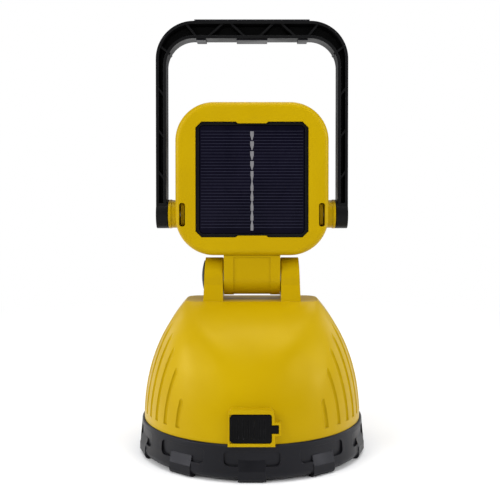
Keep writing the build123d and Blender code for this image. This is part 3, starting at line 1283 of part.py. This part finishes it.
def arch(half, top, low, corner):
    """Face of an upright arch: a rectangle from low to top with round upper corners."""
    with BuildSketch() as face:
        with Locations((0, (low + top) / 2)):
            Rectangle(2 * half, top - low)
        fillet(face.vertices().group_by(Axis.Y)[-1], corner)
    return face.sketch


def channel_rib(outer, inner):
    """Thin stiffening rib across the channel between two points of its walls."""
    middle = ((outer[0] + inner[0]) / 2, (outer[1] + inner[1]) / 2)
    rise = inner[1] - outer[1]
    run = inner[0] - outer[0]
    with Locations(Location((middle[0], middle[1], 0), (0, 0, degrees(atan2(rise, run))))):
        Rectangle(hypot(run, rise) + 2 * RIB_ROOT, RIB_THICK)


with BuildPart() as handle_frame:
    # Arch with a round eye at the foot of each leg.
    with BuildSketch(plane_at_y(HANDLE_HALF_DEPTH)):
        add(arch(LEG_OUTER, BAR_TOP, PIVOT_Z, BAR_CORNER))
        add(arch(LEG_INNER, BAR_LOW, PIVOT_Z, BAR_INNER_CORNER), mode=Mode.SUBTRACT)
    extrude(amount=2 * HANDLE_HALF_DEPTH)
    for start in (-LEG_OUTER, HUB_INNER):
        with BuildSketch(plane_at_x(start)):
            with Locations((0, PIVOT_Z)):
                Circle(EYE_RADIUS)
        extrude(amount=LEG_OUTER - HUB_INNER)

    # Channel open to the rear, and the ribs that cross it.
    with BuildSketch(plane_at_y(CHANNEL_FLOOR)):
        add(arch(LEG_OUTER - OUTER_FLANGE, BAR_TOP - OUTER_FLANGE, PIVOT_Z + CHANNEL_END,
                 BAR_CORNER - OUTER_FLANGE))
        add(arch(LEG_INNER + INNER_FLANGE, BAR_LOW + INNER_FLANGE, PIVOT_Z + CHANNEL_END,
                 BAR_INNER_CORNER + INNER_FLANGE), mode=Mode.SUBTRACT)
    extrude(amount=CHANNEL_FLOOR + HANDLE_HALF_DEPTH, mode=Mode.SUBTRACT)
    with BuildSketch(plane_at_y(CHANNEL_FLOOR)):
        for side in (-1, 1):
            for top_x, low_x in BAR_RIBS:
                channel_rib((side * top_x, BAR_TOP - OUTER_FLANGE), (side * low_x, BAR_LOW + INNER_FLANGE))
            channel_rib((side * CORNER_RIB_OUTER[0], CORNER_RIB_OUTER[1]),
                        (side * CORNER_RIB_INNER[0], CORNER_RIB_INNER[1]))
            for height in LEG_RIBS:
                channel_rib((side * (LEG_OUTER - OUTER_FLANGE), height),
                            (side * (LEG_INNER + INNER_FLANGE), height - LEG_RIB_DROP))
    extrude(amount=CHANNEL_FLOOR - RIB_FRONT)

    for start in (-STUB_END, HUB_INNER):
        with BuildSketch(plane_at_x(start)):
            with Locations((0, PIVOT_Z)):
                Circle(STUB_RADIUS)
        extrude(amount=STUB_END - HUB_INNER, mode=Mode.SUBTRACT)
handle_frame.part.label = "handle_frame"
export_step(handle_frame.part, "parts/handle_frame.step")

with BuildPart() as grip_cover:
    # Strip on top of the bar that wraps its front side, with three tabs under the bar.
    with BuildSketch(plane_at_x(-GRIP_HALF)):
        with BuildLine():
            Polyline(
                (GRIP_REAR, BAR_TOP), (GRIP_REAR, GRIP_TOP), (GRIP_FRONT, GRIP_TOP), (GRIP_FRONT, BAR_LOW),
                (HANDLE_HALF_DEPTH, BAR_LOW), (HANDLE_HALF_DEPTH, BAR_TOP), close=True,
            )
        make_face()
    extrude(amount=2 * GRIP_HALF)
    for middle, length in GRIP_TABS:
        with BuildSketch(Plane.XY.offset(GRIP_LOW)):
            with Locations((middle, (GRIP_REAR + GRIP_FRONT) / 2)):
                Rectangle(length, GRIP_FRONT - GRIP_REAR)
        extrude(amount=BAR_LOW - GRIP_LOW)
    fillet(grip_cover.edges().filter_by(Axis.X).group_by(Axis.Y)[-1], GRIP_EDGE)
grip_cover.part.label = "grip_cover"
export_step(grip_cover.part, "parts/grip_cover.step")
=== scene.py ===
import json
import math

import bmesh
import bpy
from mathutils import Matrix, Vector


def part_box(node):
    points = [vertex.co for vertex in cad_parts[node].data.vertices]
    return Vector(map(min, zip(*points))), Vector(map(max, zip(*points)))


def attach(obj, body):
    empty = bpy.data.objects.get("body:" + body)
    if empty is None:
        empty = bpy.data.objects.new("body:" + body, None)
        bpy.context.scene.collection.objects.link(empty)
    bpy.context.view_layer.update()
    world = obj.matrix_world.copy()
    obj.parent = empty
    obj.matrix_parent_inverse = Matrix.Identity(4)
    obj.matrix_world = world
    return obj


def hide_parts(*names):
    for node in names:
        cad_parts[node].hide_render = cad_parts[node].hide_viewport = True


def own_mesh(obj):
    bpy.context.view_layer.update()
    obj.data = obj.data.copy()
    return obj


# Studio view and finishes of the solar lantern. Metres, +Z up, the solar panel faces -Y.

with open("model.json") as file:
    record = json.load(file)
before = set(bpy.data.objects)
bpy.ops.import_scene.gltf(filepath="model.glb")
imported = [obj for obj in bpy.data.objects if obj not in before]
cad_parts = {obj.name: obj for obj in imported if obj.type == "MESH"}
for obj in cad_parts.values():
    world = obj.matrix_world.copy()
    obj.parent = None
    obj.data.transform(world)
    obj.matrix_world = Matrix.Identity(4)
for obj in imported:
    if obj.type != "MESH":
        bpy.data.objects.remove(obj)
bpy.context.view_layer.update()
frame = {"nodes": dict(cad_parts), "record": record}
nodes = frame["nodes"]
MM = 0.001


# ---- Node helpers -----------------------------------------------------------------------------

# Sockets of a Mix node that mixes colours
FACTOR_SOCKET = 0
COLOUR_A_SOCKET = 6
COLOUR_B_SOCKET = 7
COLOUR_RESULT = 2


class Finish:
    """A node material with one Principled shader and short calls for the usual procedural parts."""

    def __init__(self, name):
        self.material = bpy.data.materials.new(name)
        self.material.use_nodes = True
        self.nodes = self.material.node_tree.nodes
        self.links = self.material.node_tree.links
        self.shader = self.nodes["Principled BSDF"]
        self.place = self.nodes.new("ShaderNodeTexCoord").outputs["Object"]

    def set(self, **values):
        """Sets plain numbers and colours on the shader's own sockets."""
        for name, value in values.items():
            self.shader.inputs[name.replace("_", " ")].default_value = value
        return self

    def link(self, output, name):
        self.links.new(output, self.shader.inputs[name])

    def noise(self, scale, detail=3.0, stretch=(1.0, 1.0, 1.0), distortion=0.0):
        """Noise value over the object's own coordinates; scale is in bumps per metre."""
        mapping = self.nodes.new("ShaderNodeMapping")
        mapping.inputs["Scale"].default_value = stretch
        self.links.new(self.place, mapping.inputs["Vector"])
        node = self.nodes.new("ShaderNodeTexNoise")
        node.inputs["Scale"].default_value = scale
        node.inputs["Detail"].default_value = detail
        node.inputs["Distortion"].default_value = distortion
        self.links.new(mapping.outputs["Vector"], node.inputs["Vector"])
        return node.outputs["Fac"]

    def math(self, operation, first, second):
        node = self.nodes.new("ShaderNodeMath")
        node.operation = operation
        for index, value in enumerate((first, second)):
            if isinstance(value, (int, float)):
                node.inputs[index].default_value = value
            else:
                self.links.new(value, node.inputs[index])
        return node.outputs["Value"]

    def ramp(self, value, low, high, to_low=0.0, to_high=1.0):
        """Maps value from low..high to to_low..to_high, held at both ends."""
        node = self.nodes.new("ShaderNodeMapRange")
        node.interpolation_type = "SMOOTHSTEP"
        limits = {"From Min": low, "From Max": high, "To Min": to_low, "To Max": to_high}
        for name, number in limits.items():
            node.inputs[name].default_value = number
        self.links.new(value, node.inputs["Value"])
        return node.outputs["Result"]

    def mix(self, factor, first, second):
        """Mixes two colours, each a tuple or another node's output."""
        node = self.nodes.new("ShaderNodeMix")
        node.data_type = "RGBA"
        for socket, value in ((FACTOR_SOCKET, factor), (COLOUR_A_SOCKET, first), (COLOUR_B_SOCKET, second)):
            if isinstance(value, tuple):
                node.inputs[socket].default_value = (*value, 1.0)
            else:
                self.links.new(value, node.inputs[socket])
        return node.outputs[COLOUR_RESULT]

    def edges(self, radius):
        """1 on edges and corners tighter than the radius, 0 on open faces, and the rounded normal."""
        bevel = self.nodes.new("ShaderNodeBevel")
        bevel.samples = 4
        bevel.inputs["Radius"].default_value = radius
        geometry = self.nodes.new("ShaderNodeNewGeometry")
        dot = self.nodes.new("ShaderNodeVectorMath")
        dot.operation = "DOT_PRODUCT"
        self.links.new(bevel.outputs["Normal"], dot.inputs[0])
        self.links.new(geometry.outputs["Normal"], dot.inputs[1])
        return self.ramp(dot.outputs["Value"], 0.97, 0.75), bevel.outputs["Normal"]

    def bump(self, height, strength, distance, normal=None):
        node = self.nodes.new("ShaderNodeBump")
        node.inputs["Strength"].default_value = strength
        node.inputs["Distance"].default_value = distance
        self.links.new(height, node.inputs["Height"])
        if normal is not None:
            self.links.new(normal, node.inputs["Normal"])
        self.link(node.outputs["Normal"], "Normal")
        return node.outputs["Normal"]


LEAST_EDGE_WEAR_AND_HIGHLIGHT = 0.35     # edge lightening kept where the noise adds none; partly wear, partly painted edge highlight
MARK_SHADE = 0.82     # colour of a metal's marks, as a share of its own
SMEAR_SHADE = 0.96    # colour of a lens's smears, as a share of its own


def moulded(name, colour, drift, edge_colour_wear_and_highlight, roughness, grain, depth, edge=0.35 * MM, edge_wear_and_highlight_share=0.35):
    """Moulded plastic or rubber: slow colour drift, uneven gloss, a fine grain and lighter edges, partly wear
    and partly a painted edge highlight.
    """
    finish = Finish(name)
    slow = finish.ramp(finish.noise(18.0, 4.0), 0.35, 0.65)
    body = finish.mix(slow, colour, drift)
    on_edge, rounded = finish.edges(edge)
    # Lighter edges: partly edge wear, partly a painted highlight along the edges.
    edge_breakup = finish.ramp(finish.noise(260.0, 5.0, distortion=0.6), 0.45, 0.75)
    most_edge_wear_and_highlight = finish.math("MULTIPLY", on_edge, edge_wear_and_highlight_share)
    edge_wear_and_highlight = finish.math("MULTIPLY", most_edge_wear_and_highlight, finish.math("ADD", edge_breakup, LEAST_EDGE_WEAR_AND_HIGHLIGHT))
    finish.link(finish.mix(edge_wear_and_highlight, body, edge_colour_wear_and_highlight), "Base Color")
    patches = finish.noise(55.0, 5.0, distortion=0.3)
    finish.link(finish.ramp(patches, 0.3, 0.7, roughness - 0.05, roughness + 0.07), "Roughness")
    finish.bump(finish.noise(grain, 2.0), 0.35, depth, rounded)
    return finish


def metal(name, colour, roughness, brushed=(1.0, 1.0, 1.0), scale=900.0):
    """Bare or plated metal with fine directional marks."""
    finish = Finish(name)
    finish.set(Metallic=1.0)
    marks = finish.noise(scale, 4.0, stretch=brushed)
    darker = tuple(part * MARK_SHADE for part in colour)
    finish.link(finish.mix(finish.ramp(marks, 0.3, 0.7), colour, darker), "Base Color")
    finish.link(finish.ramp(marks, 0.2, 0.8, roughness - 0.06, roughness + 0.08), "Roughness")
    finish.bump(marks, 0.15, 0.02 * MM)
    return finish


def clear(name, colour, roughness):
    """Clear moulded plastic for lenses, with a faint mould texture and light smears."""
    finish = Finish(name)
    finish.set(Transmission_Weight=0.92, IOR=1.49, Specular_IOR_Level=0.5)
    smears = finish.noise(40.0, 5.0, distortion=0.8)
    smeared = tuple(part * SMEAR_SHADE for part in colour)
    finish.link(finish.mix(finish.ramp(smears, 0.4, 0.7), colour, smeared), "Base Color")
    finish.link(finish.ramp(smears, 0.35, 0.75, roughness, roughness + 0.10), "Roughness")
    finish.bump(finish.noise(500.0, 2.0), 0.08, 0.05 * MM)
    return finish


# ---- Finishes ---------------------------------------------------------------------------------

YELLOW = (0.440, 0.287, 0.0003)
YELLOW_DRIFT = (0.415, 0.266, 0.0002)
# Edge colour: partly wear, partly a painted highlight along the edges.
YELLOW_EDGE_WEAR_AND_HIGHLIGHT = (0.53, 0.37, 0.01)

yellow = moulded("yellow_plastic", YELLOW, YELLOW_DRIFT, YELLOW_EDGE_WEAR_AND_HIGHLIGHT, 0.36, 1500.0, 0.012 * MM)
yellow.set(Specular_IOR_Level=0.22, Specular_Tint=(1.0, 0.86, 0.22, 1.0))
# The third colour of each moulded finish lightens its edges: partly wear, partly a painted edge highlight.
black_plastic = moulded("black_plastic", (0.0022, 0.0022, 0.0026), (0.0034, 0.0034, 0.0039),
                        (0.022, 0.022, 0.023), 0.42, 1800.0, 0.02 * MM, edge_wear_and_highlight_share=0.5)
black_plastic.set(Specular_IOR_Level=0.12)
rubber = moulded("black_rubber", (0.0020, 0.0020, 0.0027), (0.0032, 0.0032, 0.0043), (0.024, 0.024, 0.028),
                 0.40, 1200.0, 0.03 * MM, edge=0.5 * MM, edge_wear_and_highlight_share=0.4)
rubber.set(Specular_IOR_Level=0.24, Specular_Tint=(0.90, 0.90, 1.0, 1.0))
soft_rubber = moulded("soft_rubber", (0.0014, 0.0014, 0.0018), (0.0024, 0.0024, 0.0030),
                      (0.030, 0.030, 0.034), 0.44, 1200.0, 0.03 * MM, edge=0.5 * MM, edge_wear_and_highlight_share=0.8)
soft_rubber.set(Specular_IOR_Level=0.08)
grey_plastic = moulded("grey_plastic", (0.18, 0.18, 0.19), (0.15, 0.15, 0.16), (0.35, 0.35, 0.36),
                       0.5, 1500.0, 0.02 * MM)
board_green = moulded("circuit_board", (0.006, 0.075, 0.022), (0.004, 0.06, 0.02), (0.2, 0.25, 0.15),
                      0.32, 700.0, 0.02 * MM)
board_white = moulded("white_board", (0.74, 0.75, 0.73), (0.68, 0.69, 0.68), (0.85, 0.85, 0.85),
                      0.35, 700.0, 0.02 * MM)
wrap = moulded("cell_wrap", (0.01, 0.06, 0.28), (0.01, 0.05, 0.23), (0.05, 0.15, 0.4), 0.25, 300.0, 0.02 * MM)
phosphor = moulded("led", (0.78, 0.56, 0.06), (0.72, 0.50, 0.05), (0.85, 0.8, 0.6), 0.45, 2500.0, 0.02 * MM)
steel = metal("steel", (0.60, 0.61, 0.63), 0.34)
aluminium = metal("aluminium", (0.74, 0.75, 0.77), 0.38, brushed=(1.0, 0.08, 1.0))
brass = metal("brass", (0.72, 0.58, 0.32), 0.34)
silver_ink = metal("silver_ink", (0.30, 0.295, 0.31), 0.48, brushed=(3.0, 1.0, 0.2), scale=1600.0)
chrome = metal("reflector", (0.86, 0.87, 0.89), 0.14, scale=250.0)
lens_clear = clear("clear_lens", (0.95, 0.97, 0.98), 0.04)

solar = Finish("solar_glass")
panel_low, panel_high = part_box("solar_panel")
cell_patches = solar.ramp(solar.noise(34.0, 4.0, stretch=(1.0, 1.0, 0.5), distortion=0.5), 0.3, 0.7)
solar.link(solar.mix(cell_patches, (0.0010, 0.0008, 0.0050), (0.0032, 0.0026, 0.0090)), "Base Color")
solar.link(solar.ramp(solar.noise(70.0, 4.0), 0.3, 0.7, 0.26, 0.38), "Roughness")
solar.bump(solar.noise(800.0, 2.0), 0.12, 0.02 * MM)
solar.set(Coat_Weight=0.03, Coat_Roughness=0.12, Specular_IOR_Level=0.04)

finger_ink = metal("finger_ink", (0.042, 0.042, 0.068), 0.5, brushed=(0.2, 1.0, 4.0))

SLOT_FINISHES = {
    "yellow_plastic": yellow, "black_plastic": black_plastic, "black_rubber": rubber,
    "solar_glass": solar, "clear_lens": lens_clear, "reflector": chrome,
    "circuit_board": board_green, "white_board": board_white, "led": phosphor, "steel": steel,
    "aluminium": aluminium, "cell_wrap": wrap, "grey_plastic": grey_plastic, "brass": brass,
}

for part in frame["record"]["subparts"]:
    mesh = nodes[part["node"]].data
    mesh.materials.clear()
    mesh.materials.append(SLOT_FINISHES[part["material_slot"]].material)

# The port cover is softer and duller than the bumper, which shares its material.
nodes["port_cover"].data.materials[0] = soft_rubber.material


# ---- Solar cell -------------------------------------------------------------------------------

def new_piece(name, mesh_maker, finish, body):
    """Makes a mesh piece from bmesh calls, gives it a finish and lets it ride on a body."""
    mesh = bpy.data.meshes.new(name)
    builder = bmesh.new()
    mesh_maker(builder)
    bmesh.ops.recalc_face_normals(builder, faces=builder.faces)
    builder.to_mesh(mesh)
    builder.free()
    piece = bpy.data.objects.new(name, mesh)
    bpy.context.scene.collection.objects.link(piece)
    mesh.materials.append(finish.material)
    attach(piece, body)
    return piece


def slab(builder, outline, back, front):
    """Extrudes a flat XZ outline between two depths; outline is a list of (x, z)."""
    rear = [builder.verts.new((x, back, z)) for x, z in outline]
    face = [builder.verts.new((x, front, z)) for x, z in outline]
    builder.faces.new(face)
    builder.faces.new(rear[::-1])
    count = len(outline)
    for index in range(count):
        following = (index + 1) % count
        builder.faces.new((face[index], rear[index], rear[following], face[following]))


INK_ROOT = 0.01 * MM          # how far the printed pieces reach into the panel
FINGER_PITCH = 2.18 * MM
FINGER_WIDTH = 0.34 * MM
FINGER_HEIGHT = 0.02 * MM     # how far the fingers stand out of the panel
CELL_MARGIN = 1.0 * MM        # bare strip at the sides of the cell
CELL_ENDS = 4.0 * MM          # bare strips above and below the fingers, together
PAD_COUNT = 10
PADS_DOWN = 5                 # the first pads point down, and the others up
PADS_APART = 4                # the first pads stand apart, and the others touch
PAD_PITCH = 6.96 * MM
PAD_HALF_WIDTH = 1.25 * MM
PAD_LENGTH = 6.1 * MM
PAD_JOIN = 0.9 * MM           # extra length of the pads that touch
PAD_DROP = 1.0 * MM           # the row sits this much below the middle
PAD_HEIGHT = 0.05 * MM
PAD_SLIMMER = 0.82            # width of the touching pads, as a share of the others'
PAD_TIP = 0.25                # width of a pad's tip, as a share of its width
PAD_FOOT = 0.9                # width of an upward pad's foot, as a share of its width
PAD_SHOULDER = 0.45           # straight part of a pad, as a share of its length
panel_face = panel_low.y
cell_middle = (panel_low.z + panel_high.z) / 2


def cell_fingers(builder):
    """Thin printed lines across the whole cell."""
    rows = int((panel_high.z - panel_low.z - CELL_ENDS) / FINGER_PITCH)
    for row in range(rows):
        z = cell_middle + (row - (rows - 1) / 2) * FINGER_PITCH
        half = (panel_high.x - panel_low.x) / 2 - CELL_MARGIN
        outline = [(-half, z), (half, z), (half, z + FINGER_WIDTH), (-half, z + FINGER_WIDTH)]
        slab(builder, outline, panel_face + INK_ROOT, panel_face - FINGER_HEIGHT)


def cell_busbar(builder):
    """Ten tapered solder pads down the middle; the upper five point down and the rest point up."""
    for number in range(PAD_COUNT):
        apart = number < PADS_APART
        top = cell_middle + (PAD_COUNT / 2 - number) * PAD_PITCH - PAD_DROP
        low = top - PAD_LENGTH - (0.0 if apart else PAD_JOIN)
        wide = PAD_HALF_WIDTH * (1.0 if apart else PAD_SLIMMER)
        tip = PAD_HALF_WIDTH * PAD_TIP
        foot = wide * PAD_FOOT
        shoulder = PAD_SHOULDER * (top - low)
        if number < PADS_DOWN:
            outline = [(-wide, top), (-wide, top - shoulder), (-tip, low), (tip, low), (wide, top - shoulder),
                       (wide, top)]
        else:
            outline = [(-tip, top), (-wide, low + shoulder), (-foot, low), (foot, low),
                       (wide, low + shoulder), (tip, top)]
        slab(builder, outline, panel_face + INK_ROOT, panel_face - PAD_HEIGHT)


new_piece("solar_fingers", cell_fingers, finger_ink, "head")
new_piece("solar_busbar", cell_busbar, silver_ink, "head")


# ---- Shading of the carried-over CAD nodes ----------------------------------------------------

for node in nodes.values():
    node.data.shade_smooth()


# ---- Return spring of the release button ------------------------------------------------------

# The coil is a copy of the spring's mesh that rides on the base, and the CAD spring is hidden.
coil = bpy.data.objects.new("release_coil", nodes["release_spring"].data.copy())
bpy.context.scene.collection.objects.link(coil)
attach(coil, "base")
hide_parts("release_spring")
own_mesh(coil)


# ---- Studio -----------------------------------------------------------------------------------

FLOOR_RADIUS = 9.0
FADE_START = 0.16
FADE_END = 0.75

floor_mesh = bpy.data.meshes.new("studio_floor")
floor_builder = bmesh.new()
bmesh.ops.create_circle(floor_builder, cap_ends=True, segments=96, radius=FLOOR_RADIUS)
floor_builder.to_mesh(floor_mesh)
floor_builder.free()
floor = bpy.data.objects.new("studio_floor", floor_mesh)
bpy.context.scene.collection.objects.link(floor)

paper = Finish("studio_paper")
paper_grain = paper.ramp(paper.noise(6.0, 3.0), 0.3, 0.7)
paper.link(paper.mix(paper_grain, (0.93, 0.93, 0.93), (0.91, 0.91, 0.915)), "Base Color")
paper.set(Roughness=0.7, Specular_IOR_Level=0.1)
distance = paper.nodes.new("ShaderNodeVectorMath")
distance.operation = "LENGTH"
paper.links.new(paper.place, distance.inputs[0])
fade = paper.ramp(distance.outputs["Value"], FADE_START, FADE_END)
glow = paper.nodes.new("ShaderNodeEmission")
glow.inputs["Color"].default_value = (1.0, 1.0, 1.0, 1.0)
blend_out = paper.nodes.new("ShaderNodeMixShader")
paper.links.new(fade, blend_out.inputs["Fac"])
paper.links.new(paper.shader.outputs["BSDF"], blend_out.inputs[1])
paper.links.new(glow.outputs["Emission"], blend_out.inputs[2])
paper.links.new(blend_out.outputs["Shader"], paper.nodes["Material Output"].inputs["Surface"])
floor_mesh.materials.append(paper.material)

world = bpy.data.worlds.new("studio_world")
bpy.context.scene.world = world
world.use_nodes = True
sky = world.node_tree
backdrop = sky.nodes["Background"]
backdrop.inputs["Color"].default_value = (1.0, 1.0, 1.0, 1.0)
backdrop.inputs["Strength"].default_value = 1.0
fill = sky.nodes.new("ShaderNodeBackground")
fill.inputs["Color"].default_value = (0.97, 0.98, 1.0, 1.0)
fill.inputs["Strength"].default_value = 0.36
path = sky.nodes.new("ShaderNodeLightPath")
choice = sky.nodes.new("ShaderNodeMixShader")
sky.links.new(path.outputs["Is Camera Ray"], choice.inputs["Fac"])
sky.links.new(fill.outputs["Background"], choice.inputs[1])
sky.links.new(backdrop.outputs["Background"], choice.inputs[2])
sky.links.new(choice.outputs["Shader"], sky.nodes["World Output"].inputs["Surface"])


def softbox(name, place, aim, width, height, power):
    """A large rectangular studio light that faces a point on the lantern."""
    light = bpy.data.lights.new(name, "AREA")
    light.shape = "RECTANGLE"
    light.size = width
    light.size_y = height
    light.energy = power
    holder = bpy.data.objects.new(name, light)
    holder.location = place
    holder.rotation_euler = (Vector(aim) - Vector(place)).to_track_quat("-Z", "Y").to_euler()
    bpy.context.scene.collection.objects.link(holder)
    return holder


# Each light: name, place, point that it faces, width, height and power in watts.
softbox("key_light", (-1.3, -1.2, 1.1), (0, 0, 0.12), 0.9, 0.9, 13.0)
softbox("fill_light", (1.3, -1.2, 1.1), (0, 0, 0.14), 0.9, 0.9, 10.0)
softbox("top_light", (0.0, -0.25, 1.7), (0, 0, 0.1), 1.1, 0.7, 12.0)
softbox("left_side", (-1.5, -0.45, 0.56), (0, 0, 0.06), 0.40, 0.65, 11.0)
softbox("right_side", (1.5, -0.45, 0.56), (0, 0, 0.06), 0.40, 0.65, 8.5)
softbox("left_rim", (-1.4, 0.9, 0.7), (0, 0, 0.15), 0.7, 1.2, 5.0)
softbox("right_rim", (1.4, 0.9, 0.7), (0, 0, 0.15), 0.7, 1.2, 5.0)
softbox("back_light", (0.2, 1.3, 1.9), (0, 0, 0.15), 1.4, 0.8, 8.0)

# ---- Camera -----------------------------------------------------------------------------------

CAMERA_DISTANCE = 0.601
CAMERA_HEIGHT = 0.1884
CAMERA_PITCH = 1.09       # degrees below level
camera = bpy.data.cameras.new("camera")
camera.lens = 60.06
camera.sensor_width = 36.0
camera.shift_x = -0.004
camera.shift_y = -0.10
camera_holder = bpy.data.objects.new("camera", camera)
camera_holder.location = (0.0, -CAMERA_DISTANCE, CAMERA_HEIGHT)
camera_holder.rotation_euler = (math.radians(90.0 - CAMERA_PITCH), 0.0, 0.0)
bpy.context.scene.collection.objects.link(camera_holder)
bpy.context.scene.camera = camera_holder
bpy.context.scene.view_settings.view_transform = "Standard"
